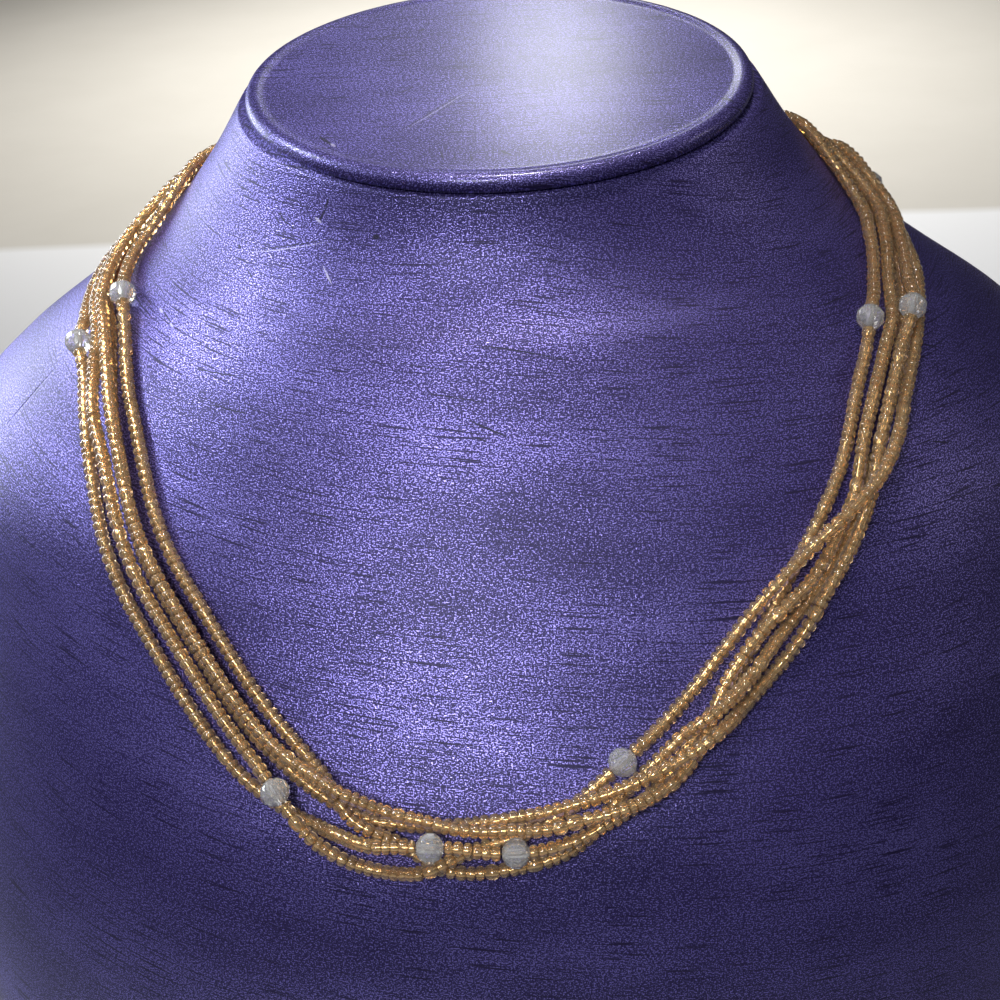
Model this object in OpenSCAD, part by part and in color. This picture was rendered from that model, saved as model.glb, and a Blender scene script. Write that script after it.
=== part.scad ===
// Five strand seed bead necklace on a neck bust, in millimetres.
// +X is the wearer's left, -Y is the front, and the bust stands on z = 0.

/* [Bust] */
// Height of the body at the middle of its neck
body_h = 240; // [225:1:250]
// Width across the shoulders
body_w = 310; // [296:2:326]
// Forward tilt of the neck's top, in degrees
top_tilt = 12; // [8:1:14]
// Faces round the body
body_sides = 52; // [40:4:60]
// Radius that rounds the foot's edge
foot_r = 3; // [1:0.5:4]

/* [Cap] */
// Width of the oval cap
cap_w = 113; // [110:1:116]
// Depth of the oval cap
cap_d = 88; // [85:1:92]
// Thickness of the cap
cap_t = 4.6; // [4:0.1:6]

/* [Strands] */
// Diameter of a strand of seed beads
bead_d = 3.2; // [2.6:0.1:3.2]
// Sides of a strand's tube
strand_sides = 8; // [8:1:10]
// Rings along a strand's tube
strand_rings = 96; // [84:2:104]
// Diameter of the thread
thread_d = 0.6; // [0.4:0.1:0.8]
// Gap between a piece and what it lies on
seat = 0.3; // [0.2:0.05:0.4]

/* [Crystals] */
// Diameter of a crystal
crystal_d = 6; // [5:0.1:6]
// Length of a crystal along its hole
crystal_l = 5.4; // [4.6:0.1:5.4]
// Facets round a crystal
crystal_sides = 10; // [8:1:12]
// Diameter of a crystal's hole
crystal_hole = 1.2; // [1:0.1:1.4]

/* [Clasp] */
// Length of the clasp along the neck
clasp_l = 16.4; // [14:0.2:18]
// Width of the clasp
clasp_w = 12; // [11.6:0.1:13]
// Thickness of the clasp
clasp_t = 6.8; // [6.6:0.1:8]

/* [Hidden] */
// How far the middle of the neck lies behind the origin
neck_y = 35.8;

// Level sections of the body at its drawn height and width, about the middle of the neck.
// Columns: height, half width, front, back, where it is widest, roundness (2 is an ellipse).
drawn_h = 240;
drawn_w = 310;
sections = [
    [0, 147, -102, 50, 8, 2.5],
    [30, 154, -115, 50, 10, 2.4],
    [60, 155, -122, 50, 12, 2.3],
    [90, 150, -124, 50, 14, 2.25],
    [120, 142, -117, 50, 15, 2.2],
    [145, 140, -101, 50, 15, 2.15],
    [165, 136.5, -87, 49, 15, 2.1],
    [183, 119, -74, 48, 13, 2.05],
    [198, 99, -63, 47, 10, 2],
    [206, 88, -58, 46.5, 8, 2],
    [213, 79, -53, 46, 6, 2],
    [227, 67, -46, 45, 3, 2],
    [240, 58.5, -42, 43, 1, 2]
];
// The neck leans to the cap's tilt from this height up
lean_from = 195;

// The necklace's middle line on the body: angle round the neck (0 front, 90 left), height
middle_line = [
    [-220, 214], [-180, 214], [-140, 214.5], [-125, 214.5], [-110, 215], [-100, 214.5],
    [-90, 210.5], [-80, 205], [-70, 200.5], [-60, 196], [-50, 188], [-40, 176], [-30, 158],
    [-20, 137], [-10, 123], [0, 122], [10, 134], [20, 152], [30, 170], [40, 184], [50, 193],
    [60, 199.5], [70, 204.5], [80, 208.5], [90, 213], [100, 216.5], [110, 217], [125, 216],
    [140, 214.5], [180, 214], [220, 214]
];

// Ways of the strands. Columns: angle round the neck, distance outwards from the middle line,
// height above the lowest layer.
strand_1_way = [
    [-190, 3.6, 0], [-172, 3.6, 0], [-140, 3.6, 0], [-125, 5.3, 0], [-108, 7, 0], [-90, 7, 0],
    [-80, 7.2, 0], [-70, 7, 0], [-66, 6.8, 0.6], [-61, 7.3, 2.2], [-56, 6.5, 0.6],
    [-50, 6.4, 0], [-40, 6.6, 0], [-32, 7.2, 0], [-20, 7.2, 0], [-16, 5.2, 0],
    [-14, 3.4, 0.4], [-12, 1.4, 3.4], [-10, -0.2, 6.2], [-8, -1.6, 5.8], [-6, -2.2, 5.4],
    [-4, -2.3, 5], [-2, -1.2, 4.6], [0, 0, 4.6], [3, 1.4, 3.6], [5.5, 1.9, 3.6], [8, 2.5, 3],
    [10, 2.1, 1], [12, 1, 0], [16, -0.4, 0], [20, -2.2, 0], [24, -4, 0], [28, -4.4, 0],
    [34, -4.3, 0], [40, -5, 0], [48, -5.6, 0.8], [52, -6.3, 1.4], [56, -5.6, 0.8],
    [60, -5.3, 0], [70, -4.9, 0], [80, -4.3, 0], [90, -5.5, 0], [100, -7, 0], [108, -7, 0],
    [125, -5.3, 0], [140, -3.6, 0], [172, -3.6, 0], [190, -3.6, 0]
];
strand_2_way = [
    [-190, 1.8, 3.1], [-172, 1.8, 3.1], [-140, 1.8, 3.1], [-125, 2.7, 2.2], [-108, 3.5, 0],
    [-90, 3.6, 0.3], [-80, 3.8, 0.4], [-70, 3.6, 0.4], [-61, 2.6, 0.6], [-48, 1.8, 2.8],
    [-40, 0.7, 3.1], [-30, 1.1, 3.1], [-20, 1.7, 3.4], [-17, 2.8, 4.4], [-14, 4.8, 4],
    [-12, 5.6, 2.2], [-9, 5, 1.6], [-6, 2.4, 4], [-4, -0.2, 2.2], [-2, -1.5, 0.4],
    [0, -2.2, 0], [4, -4, 0], [6, -4.8, 0.6], [8, -5.4, 1.4], [10, -5.5, 0.8], [12, -5.5, 0],
    [20, -6, 0.6], [22, -5.8, 2.2], [24, -5.2, 3.4], [26, -3.9, 3.8], [28, -2.2, 5.5],
    [30, -0.3, 6.1], [32, 1.4, 7], [34, 2.5, 7], [36, 3.4, 6], [38, 3.9, 5.2], [41, 4.2, 3.7],
    [45, 4.4, 3.2], [54, 4.7, 3.1], [60, 4.5, 3], [66, 4.6, 2.4], [70, 4.6, 1.6],
    [80, 4.7, 0.9], [88, 5.3, 1.7], [96, 5.8, 0.4], [108, 7, 0], [125, 5.3, 0], [140, 3.6, 0],
    [172, 3.6, 0], [190, 3.6, 0]
];
strand_3_way = [
    [-190, -1.8, 3.1], [-172, -1.8, 3.1], [-140, -1.8, 3.1], [-125, -2.7, 2.2],
    [-108, -3.5, 0], [-90, -2.9, 1.9], [-80, -2.4, 2.4], [-70, -1.8, 2.8], [-66, -1.4, 3.1],
    [-60, -2, 3.2], [-50, -2.8, 3], [-40, -3.1, 3.1], [-30, -3, 3.1], [-20, -2.8, 3.2],
    [-18, -3.4, 3.8], [-16, -4.6, 4.6], [-14, -5.5, 5.8], [-13, -5.9, 5.7], [-12, -6.2, 4.8],
    [-10, -6.3, 3.4], [-8, -6.5, 3.4], [-6, -6.3, 3.4], [-4, -5.5, 3.8], [-2, -4.9, 4.8],
    [0, -4.2, 5.8], [2, -2.7, 5.6], [4, -1.5, 5.4], [6, 0.5, 6.8], [7, 1.5, 7], [8, 2.4, 6.5],
    [10, 3.5, 4], [12, 2.6, 3.4], [14, 0, 3.6], [16, -2, 3.3], [18, -2.7, 3.3],
    [20, -2.8, 3.6], [22, -1.8, 3.4], [24, -0.6, 3], [28, -0.2, 2.5], [32, -0.6, 2.2],
    [36, -1.9, 2.1], [40, -2.1, 2.2], [48, -1.9, 2.3], [52, -1.6, 2.8], [60, -2.1, 1.3],
    [70, -2.1, 1.8], [80, -1.8, 2.4], [89, -2.6, 1.9], [100, -3.5, 0.6], [108, -3.5, 0],
    [125, -2.7, 2.2], [140, -1.8, 3.1], [172, -1.8, 3.1], [190, -1.8, 3.1]
];
strand_4_way = [
    [-190, -3.6, 0], [-172, -3.6, 0], [-140, -3.6, 0], [-125, -5.3, 0], [-108, -7, 0],
    [-90, -5.9, 0], [-80, -5.2, 0], [-70, -5.8, 0.8], [-66, -6, 1.4], [-56, -5.4, 0],
    [-50, -5.8, 0], [-44, -6.5, 0], [-36, -6.5, 0], [-24, -6.2, 0], [-16, -5.4, 0.8],
    [-14, -4, 2.8], [-12, -2.4, 3.6], [-10, -2, 3.3], [-8, -1, 1], [-6, 1.6, 0], [-5, 3, 0],
    [-3, 3.8, 0], [0, 3.8, 0], [3, 3.3, 0], [6, 0.2, 0.5], [7.5, -0.8, 1.9], [9, -1.2, 2.5],
    [12, -1.6, 3.5], [13, -1.2, 6.3], [14, -0.7, 7.2], [15, -0.2, 6.9], [16, 0.2, 6.1],
    [18, 0.7, 4.4], [20, 1, 1.6], [22, 1.6, 0.2], [24, 2.2, 0], [30, 2.4, 0], [40, 2.8, 0],
    [60, 2.8, 0], [70, 1.6, 0], [80, 1, 0], [90, 0.3, 0], [100, 0, 0], [172, 0, 0],
    [190, 0, 0]
];
strand_5_way = [
    [-190, 0, 0], [-172, 0, 0], [-110, 0, 0], [-68, 0, 0], [-61, -0.8, 0], [-40, -1.2, 0],
    [-30, -1, 0], [-20, -0.7, 0], [-12, -2.8, 0], [-8, -4.6, 0], [-4, -5.6, 0],
    [-1, -5.8, 0.4], [1, -5.7, 2.4], [3, -5, 3.5], [5, -3.8, 4.2], [8, -1.2, 5.7],
    [9, -0.4, 5.9], [10, 0.4, 5.9], [11, 1.1, 6.4], [12, 1.8, 7.1], [13, 2.4, 7.1],
    [14, 3, 5.6], [15, 3.6, 3.4], [16, 4.1, 1.4], [18, 4.7, 0.4], [20, 5, 0.6],
    [22, 4.2, 2.5], [24, 3.2, 3.4], [28, 3, 3.5], [32, 2.4, 3.6], [36, 1.1, 3.6],
    [48, 0.8, 4.4], [54, 1.1, 6.6], [60, 0.9, 4.2], [70, 0.9, 3.4], [80, 1.7, 3.3],
    [88, 0.7, 3.4], [96, 1.2, 3.2], [104, 2.6, 2.2], [112, 3.2, 1.2], [125, 2.7, 2.2],
    [140, 1.8, 3.1], [172, 1.8, 3.1], [190, 1.8, 3.1]
];
strand_ways = [strand_1_way, strand_2_way, strand_3_way, strand_4_way, strand_5_way];

// Crystals, in order round the necklace. Columns: strand, angle round the neck.
crystals = [
    [4, -66.3], [1, -61], [2, -17], [1, -5.8], [1, -0.3], [2, 8.2], [1, 51.5], [5, 53.7],
    [2, 88.2]
];

// A smooth curve through the rows of a table, at x in its first column
function on_curve(rows, x) =
    let (
        last = len(rows) - 1,
        at = min(max(x, rows[0][0]), rows[last][0]),
        k = max([0, for (i = [0:1:last - 1]) if (rows[i][0] <= at) i]),
        a = rows[max(k - 1, 0)],
        b = rows[k],
        c = rows[k + 1],
        d = rows[min(k + 2, last)],
        h = c[0] - b[0],
        u = (at - b[0]) / h,
        from = (c - a) * h / (c[0] - a[0]),
        to = (d - b) * h / (d[0] - b[0])
    )
    (2 * u^3 - 3 * u^2 + 1) * b + (u^3 - 2 * u^2 + u) * from
    + (3 * u^2 - 2 * u^3) * c + (u^3 - u^2) * to;

// Rises smoothly from 0 to 1 as x goes from a to b
function ease(a, b, x) =
    let (u = min(max((x - a) / (b - a), 0), 1))
    u * u * (3 - 2 * u);

// A power that keeps the sign of its base
function signed_power(v, p) = sign(v) * pow(abs(v), p);

// A point of the body's skin at an angle round the neck and a drawn height, drawn in by inset
function skin(angle, height, inset = 0) =
    let (
        row = on_curve(sections, height),
        p = 2 / row[5],
        before = row[4] - row[2],
        behind = row[3] - row[4],
        reach = behind + (before - behind) * ease(-0.35, 0.35, cos(angle)),
        x = (row[1] - inset) * signed_power(sin(angle), p) * body_w / drawn_w,
        y = row[4] - (reach - inset) * signed_power(cos(angle), p),
        lean = tan(top_tilt) * y * ease(lean_from, drawn_h, height)
    )
    [x, y + neck_y, height * body_h / drawn_h + lean];

function unit(v) = v / norm(v);

// Steps of the skin for one degree and for one drawn millimetre of height
step = 0.5;
function skin_round(angle, height) =
    (skin(angle + step, height) - skin(angle - step, height)) / (2 * step);
function skin_up(angle, height) =
    (skin(angle, height + step) - skin(angle, height - step)) / (2 * step);
function skin_normal(angle, height) =
    unit(cross(skin_round(angle, height), skin_up(angle, height)));

function line_height(angle) = on_curve(middle_line, angle)[1];
function line_point(angle) = skin(angle, line_height(angle));
function line_direction(angle) = unit(line_point(angle + step) - line_point(angle - step));

// Distances along the necklace for each degree round the neck, a little above the skin
measured_at = 2;
line_points = [
    for (a = [-180:1:180]) line_point(a) + measured_at * skin_normal(a, line_height(a))
];
distances = [
    for (
        k = 0, s = 0;
        k < len(line_points);
        s = s + (k < len(line_points) - 1 ? norm(line_points[k + 1] - line_points[k]) : 0),
        k = k + 1
    )
    [k - 180, s]
];
angle_at = [for (d = distances) [d[1], d[0]]];
line_length = distances[len(distances) - 1][1];

// Height of a strand's middle in the lowest layer
bed = bead_d / 2 + seat;

// A point of a strand's middle: outwards over the skin by its way's distance, then up
function strand_point(way, distance) =
    let (
        angle = lookup(distance, angle_at),
        row = on_curve(way, angle),
        height = line_height(angle),
        along = skin_round(angle, height),
        up = skin_up(angle, height),
        n = cross(along, up),
        outwards = cross(line_direction(angle), unit(n)),
        a = angle + row[1] * (cross(outwards, up) * n) / (n * n),
        h = height + row[1] * (cross(along, outwards) * n) / (n * n)
    )
    skin(a, h) + (max(row[2], 0) + bed) * skin_normal(a, h);

// Numbers in rising order
function sorted(v) =
    len(v) < 2 ? v :
    let (pivot = v[floor(len(v) / 2)])
    concat(
        sorted([for (x = v) if (x < pivot) x]),
        [for (x = v) if (x == pivot) x],
        sorted([for (x = v) if (x > pivot) x])
    );

// Where the tube of a strand begins and ends, just clear of the clasp
strand_start = clasp_l / 2 + seat;
strand_end = line_length - strand_start;
// The tube stops this far from a crystal's middle, and the bare thread runs on through it
bare_half = crystal_l / 2 + seat + 0.1;
shoulder = 0.25;

// Millimetres of a strand for each millimetre of the middle line
function pace(way, distance) =
    norm(strand_point(way, distance + step) - strand_point(way, distance - step)) / (2 * step);

// The crystals of a strand. Columns: distance, pace there.
function crystals_on(strand) = [
    for (c = crystals)
        if (c[0] == strand)
            let (x = lookup(c[1], distances))
            [x, pace(strand_ways[strand - 1], x)]
];
function nearest(x, stops) = min(concat([line_length], [for (c = stops) abs(x - c[0]) * c[1]]));

// Distances of a strand's rings: even ones, and four close to each of its crystals
function ring_places(strand) =
    let (
        stops = crystals_on(strand),
        even = [
            for (i = [0:1:strand_rings - 1])
                strand_start + (strand_end - strand_start) * i / (strand_rings - 1)
        ],
        clear = [for (x = even) if (nearest(x, stops) > bare_half + shoulder + 1) x],
        close = [
            for (c = stops, d = [bare_half, bare_half + shoulder], side = [-1, 1])
                c[0] + side * d / c[1]
        ]
    )
    sorted(concat(clear, close));

// A ring of points about p, square to the direction t, counted from the side away from up
function ring(p, t, up, radius, sides) =
    let (side = unit(cross(up, t)), top = cross(t, side))
    [for (j = [0:1:sides - 1]) p + radius * (cos(360 * j / sides) * side
        + sin(360 * j / sides) * top)];

// Faces between rows of points, with flat ends, or with the last row joined to the first
function row_faces(rows, sides, closed = false) =
    let (
        bands = closed ? rows : rows - 1,
        quads = [
            for (i = [0:1:bands - 1], j = [0:1:sides - 1])
            let (k = (j + 1) % sides, low = i * sides, high = ((i + 1) % rows) * sides)
            [low + j, high + j, high + k, low + k]
        ]
    )
    concat(
        [for (q = quads) [q[0], q[1], q[2]]],
        [for (q = quads) [q[0], q[2], q[3]]],
        closed ? [] : [[for (j = [0:1:sides - 1]) j]],
        closed ? [] : [[for (j = [sides - 1:-1:0]) (rows - 1) * sides + j]]
    );

function joined(lists) = [for (l = lists, x = l) x];

// The bust: a smooth solid through its sections, with a rounded foot
body_heights = concat(
    [0, foot_r * 0.3, foot_r],
    [for (h = [10:10:130]) h],
    [for (h = [138:8:178]) h],
    [for (h = [184:5:239]) h],
    [drawn_h]
);
function foot_inset(h) = h < foot_r ? foot_r - sqrt(foot_r^2 - (foot_r - h)^2) : 0;

module bust_body() {
    rows = [
        for (h = body_heights) [
            for (j = [0:1:body_sides - 1]) skin(360 * j / body_sides, h, foot_inset(h))
        ]
    ];
    color("#4b4091")
        polyhedron(joined(rows), row_faces(len(rows), body_sides));
}

// The oval cap on the neck, its rim rounded all the way over
module bust_cap() {
    rim = cap_t / 2;
    rows = [
        for (a = [-90:22.5:90]) [
            for (j = [0:1:body_sides - 1]) [
                (cap_w / 2 - rim + rim * cos(a)) * sin(360 * j / body_sides),
                -(cap_d / 2 - rim + rim * cos(a)) * cos(360 * j / body_sides),
                rim + rim * sin(a)
            ]
        ]
    ];
    color("#5a4fa5")
        translate([0, neck_y, body_h + seat / cos(top_tilt)])
            rotate([top_tilt, 0, 0])
                polyhedron(joined(rows), row_faces(len(rows), body_sides));
}

// The clasp's bar at the back of the neck, its edges rounded along its length
module clasp() {
    corner = 2.5;
    height = line_height(180);
    n = skin_normal(180, height);
    t = line_direction(179.5);
    across = cross(n, t);
    p = skin(180, height) + seat * n;
    frame = [
        [t[0], across[0], n[0], p[0]],
        [t[1], across[1], n[1], p[1]],
        [t[2], across[2], n[2], p[2]],
        [0, 0, 0, 1]
    ];
    color("#b9a36a")
        multmatrix(frame)
            rotate([90, 0, 90])
                translate([0, 0, -clasp_l / 2])
                    linear_extrude(clasp_l)
                        rounded_bar(clasp_w, clasp_t, corner);
}

// A rectangle with round corners, centred on x and standing on y = 0
module rounded_bar(width, depth, corner) {
    translate([-width / 2 + corner, 0])
        square([width - 2 * corner, depth]);
    translate([-width / 2, corner])
        square([width, depth - 2 * corner]);
    for (x = [corner - width / 2, width / 2 - corner], y = [corner, depth - corner])
        translate([x, y])
            circle(corner, $fn = 48);
}

// One strand of seed beads as a tube, narrowed to its thread inside each crystal
module strand(number) {
    way = strand_ways[number - 1];
    stops = crystals_on(number);
    places = ring_places(number);
    rows = [
        for (x = places)
            let (
                t = unit(strand_point(way, x + step) - strand_point(way, x - step)),
                bare = nearest(x, stops) < bare_half + shoulder / 2,
                up = skin_normal(lookup(x, angle_at), line_height(lookup(x, angle_at)))
            )
            ring(strand_point(way, x), t, up, (bare ? thread_d : bead_d) / 2, strand_sides)
    ];
    color("#b98d4f")
        polyhedron(joined(rows), row_faces(len(rows), strand_sides));
}

// One cut crystal: a belt of long facets, sloping facets and a flat table round each hole
module crystal(number) {
    row = crystals[number - 1];
    way = strand_ways[row[0] - 1];
    middle = lookup(row[1], distances);
    reach = bare_half / pace(way, middle);
    a = strand_point(way, middle - reach);
    b = strand_point(way, middle + reach);
    t = unit(b - a);
    up = skin_normal(row[1], line_height(row[1]));
    // Columns: place along the hole as a part of the half length, radius
    profile = [
        [-1, 0.36 * crystal_d / 2], [-0.78, 0.72 * crystal_d / 2], [-0.32, crystal_d / 2],
        [0.32, crystal_d / 2], [0.78, 0.72 * crystal_d / 2], [1, 0.36 * crystal_d / 2],
        [1, crystal_hole / 2], [-1, crystal_hole / 2]
    ];
    rows = [
        for (r = profile)
            ring((a + b) / 2 + t * r[0] * crystal_l / 2, t, up, r[1], crystal_sides)
    ];
    color("#e8eaf2")
        polyhedron(joined(rows), row_faces(len(rows), crystal_sides, closed = true));
}

bust_body();
bust_cap();
clasp();
strand(1);  // strand_1
strand(2);  // strand_2
strand(3);  // strand_3
strand(4);  // strand_4
strand(5);  // strand_5
crystal(1);  // crystal_1
crystal(2);  // crystal_2
crystal(3);  // crystal_3
crystal(4);  // crystal_4
crystal(5);  // crystal_5
crystal(6);  // crystal_6
crystal(7);  // crystal_7
crystal(8);  // crystal_8
crystal(9);  // crystal_9
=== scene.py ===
"""Looks of a five strand seed bead necklace on its neck bust.

Lengths in the tables are millimetres, as in the part's source; meshes are in metres.
+X is the wearer's left, -Y the front, and the bust stands on z = 0.
"""
import math

import bpy
import numpy as np
from mathutils import Matrix


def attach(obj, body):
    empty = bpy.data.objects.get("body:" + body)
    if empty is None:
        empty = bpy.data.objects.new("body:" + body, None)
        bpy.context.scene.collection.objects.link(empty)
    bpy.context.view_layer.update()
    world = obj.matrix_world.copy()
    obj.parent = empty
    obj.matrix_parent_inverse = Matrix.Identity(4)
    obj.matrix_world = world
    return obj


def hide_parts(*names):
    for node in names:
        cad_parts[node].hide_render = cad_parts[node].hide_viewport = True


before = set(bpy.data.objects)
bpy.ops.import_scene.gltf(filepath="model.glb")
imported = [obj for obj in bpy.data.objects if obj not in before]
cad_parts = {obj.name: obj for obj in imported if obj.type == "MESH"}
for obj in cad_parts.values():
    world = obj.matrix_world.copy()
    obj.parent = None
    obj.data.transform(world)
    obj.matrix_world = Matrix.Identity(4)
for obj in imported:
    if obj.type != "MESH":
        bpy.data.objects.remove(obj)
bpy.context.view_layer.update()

MM = 0.001
NECK_Y = 35.8
TOP_TILT = math.radians(12)
BODY_H = 240.0
CAP_W, CAP_D, CAP_T = 113.0, 88.0, 4.6
BEAD_D, SEAT, THREAD_D = 3.2, 0.3, 0.5
CRYSTAL_D, CRYSTAL_L = 6.0, 5.4
CLASP_L = 16.4
LINING_R = 0.57
BEAD_SIDES, LINING_SIDES, THREAD_SIDES, CRYSTAL_SIDES = 8, 9, 6, 12
LEAN_FROM = 195.0

# Level sections of the body. Columns: height, half width, front, back, widest y, roundness.
SECTIONS = [
    [0, 147, -102, 50, 8, 2.5],
    [30, 154, -115, 50, 10, 2.4],
    [60, 155, -122, 50, 12, 2.3],
    [90, 150, -124, 50, 14, 2.25],
    [120, 142, -117, 50, 15, 2.2],
    [145, 140, -101, 50, 15, 2.15],
    [165, 136.5, -87, 49, 15, 2.1],
    [183, 119, -74, 48, 13, 2.05],
    [198, 99, -63, 47, 10, 2],
    [206, 88, -58, 46.5, 8, 2],
    [213, 79, -53, 46, 6, 2],
    [227, 67, -46, 45, 3, 2],
    [240, 58.5, -42, 43, 1, 2]
]
# The necklace's middle line. Columns: angle from the front, height on the body.
MIDDLE_LINE = [
    [-220, 214], [-180, 214], [-140, 214.5], [-125, 214.5], [-110, 215], [-100, 214.5],
    [-90, 210.5], [-80, 205], [-70, 200.5], [-60, 196], [-50, 188], [-40, 176], [-30, 158],
    [-20, 137], [-10, 123], [0, 122], [10, 134], [20, 152], [30, 170], [40, 184], [50, 193],
    [60, 199.5], [70, 204.5], [80, 208.5], [90, 213], [100, 216.5], [110, 217], [125, 216],
    [140, 214.5], [180, 214], [220, 214]
]
# Ways of the strands. Columns: angle, distance outwards from the middle line, rise above the
# lowest layer.
STRAND_1_WAY = [
    [-190, 3.6, 0], [-172, 3.6, 0], [-140, 3.6, 0], [-125, 5.3, 0], [-108, 7, 0], [-90, 7, 0],
    [-80, 7.2, 0], [-70, 7, 0], [-66, 6.8, 0.6], [-61, 7.3, 2.2], [-56, 6.5, 0.6],
    [-50, 6.4, 0], [-40, 6.6, 0], [-32, 7.2, 0], [-20, 7.2, 0], [-16, 5.2, 0],
    [-14, 3.4, 0.4], [-12, 1.4, 3.4], [-10, -0.2, 6.2], [-8, -1.6, 5.8], [-6, -2.2, 5.4],
    [-4, -2.3, 5], [-2, -1.2, 4.6], [0, 0, 4.6], [3, 1.4, 3.6], [5.5, 1.9, 3.6], [8, 2.5, 3],
    [10, 2.1, 1], [12, 1, 0], [16, -0.4, 0], [20, -2.2, 0], [24, -4, 0], [28, -4.4, 0],
    [34, -4.3, 0], [40, -5, 0], [48, -5.6, 0.8], [52, -6.3, 1.4], [56, -5.6, 0.8],
    [60, -5.3, 0], [70, -4.9, 0], [80, -4.3, 0], [90, -5.5, 0], [100, -7, 0], [108, -7, 0],
    [125, -5.3, 0], [140, -3.6, 0], [172, -3.6, 0], [190, -3.6, 0]
]
STRAND_2_WAY = [
    [-190, 1.8, 3.1], [-172, 1.8, 3.1], [-140, 1.8, 3.1], [-125, 2.7, 2.2], [-108, 3.5, 0],
    [-90, 3.6, 0.3], [-80, 3.8, 0.4], [-70, 3.6, 0.4], [-61, 2.6, 0.6], [-48, 1.8, 2.8],
    [-40, 0.7, 3.1], [-30, 1.1, 3.1], [-20, 1.7, 3.4], [-17, 2.8, 4.4], [-14, 4.8, 4],
    [-12, 5.6, 2.2], [-9, 5, 1.6], [-6, 2.4, 4], [-4, -0.2, 2.2], [-2, -1.5, 0.4],
    [0, -2.2, 0], [4, -4, 0], [6, -4.8, 0.6], [8, -5.4, 1.4], [10, -5.5, 0.8], [12, -5.5, 0],
    [20, -6, 0.6], [22, -5.8, 2.2], [24, -5.2, 3.4], [26, -3.9, 3.8], [28, -2.2, 5.5],
    [30, -0.3, 6.1], [32, 1.4, 7], [34, 2.5, 7], [36, 3.4, 6], [38, 3.9, 5.2], [41, 4.2, 3.7],
    [45, 4.4, 3.2], [54, 4.7, 3.1], [60, 4.5, 3], [66, 4.6, 2.4], [70, 4.6, 1.6],
    [80, 4.7, 0.9], [88, 5.3, 1.7], [96, 5.8, 0.4], [108, 7, 0], [125, 5.3, 0], [140, 3.6, 0],
    [172, 3.6, 0], [190, 3.6, 0]
]
STRAND_3_WAY = [
    [-190, -1.8, 3.1], [-172, -1.8, 3.1], [-140, -1.8, 3.1], [-125, -2.7, 2.2],
    [-108, -3.5, 0], [-90, -2.9, 1.9], [-80, -2.4, 2.4], [-70, -1.8, 2.8], [-66, -1.4, 3.1],
    [-60, -2, 3.2], [-50, -2.8, 3], [-40, -3.1, 3.1], [-30, -3, 3.1], [-20, -2.8, 3.2],
    [-18, -3.4, 3.8], [-16, -4.6, 4.6], [-14, -5.5, 5.8], [-13, -5.9, 5.7], [-12, -6.2, 4.8],
    [-10, -6.3, 3.4], [-8, -6.5, 3.4], [-6, -6.3, 3.4], [-4, -5.5, 3.8], [-2, -4.9, 4.8],
    [0, -4.2, 5.8], [2, -2.7, 5.6], [4, -1.5, 5.4], [6, 0.5, 6.8], [7, 1.5, 7], [8, 2.4, 6.5],
    [10, 3.5, 4], [12, 2.6, 3.4], [14, 0, 3.6], [16, -2, 3.3], [18, -2.7, 3.3],
    [20, -2.8, 3.6], [22, -1.8, 3.4], [24, -0.6, 3], [28, -0.2, 2.5], [32, -0.6, 2.2],
    [36, -1.9, 2.1], [40, -2.1, 2.2], [48, -1.9, 2.3], [52, -1.6, 2.8], [60, -2.1, 1.3],
    [70, -2.1, 1.8], [80, -1.8, 2.4], [89, -2.6, 1.9], [100, -3.5, 0.6], [108, -3.5, 0],
    [125, -2.7, 2.2], [140, -1.8, 3.1], [172, -1.8, 3.1], [190, -1.8, 3.1]
]
STRAND_4_WAY = [
    [-190, -3.6, 0], [-172, -3.6, 0], [-140, -3.6, 0], [-125, -5.3, 0], [-108, -7, 0],
    [-90, -5.9, 0], [-80, -5.2, 0], [-70, -5.8, 0.8], [-66, -6, 1.4], [-56, -5.4, 0],
    [-50, -5.8, 0], [-44, -6.5, 0], [-36, -6.5, 0], [-24, -6.2, 0], [-16, -5.4, 0.8],
    [-14, -4, 2.8], [-12, -2.4, 3.6], [-10, -2, 3.3], [-8, -1, 1], [-6, 1.6, 0], [-5, 3, 0],
    [-3, 3.8, 0], [0, 3.8, 0], [3, 3.3, 0], [6, 0.2, 0.5], [7.5, -0.8, 1.9], [9, -1.2, 2.5],
    [12, -1.6, 3.5], [13, -1.2, 6.3], [14, -0.7, 7.2], [15, -0.2, 6.9], [16, 0.2, 6.1],
    [18, 0.7, 4.4], [20, 1, 1.6], [22, 1.6, 0.2], [24, 2.2, 0], [30, 2.4, 0], [40, 2.8, 0],
    [60, 2.8, 0], [70, 1.6, 0], [80, 1, 0], [90, 0.3, 0], [100, 0, 0], [172, 0, 0],
    [190, 0, 0]
]
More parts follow.
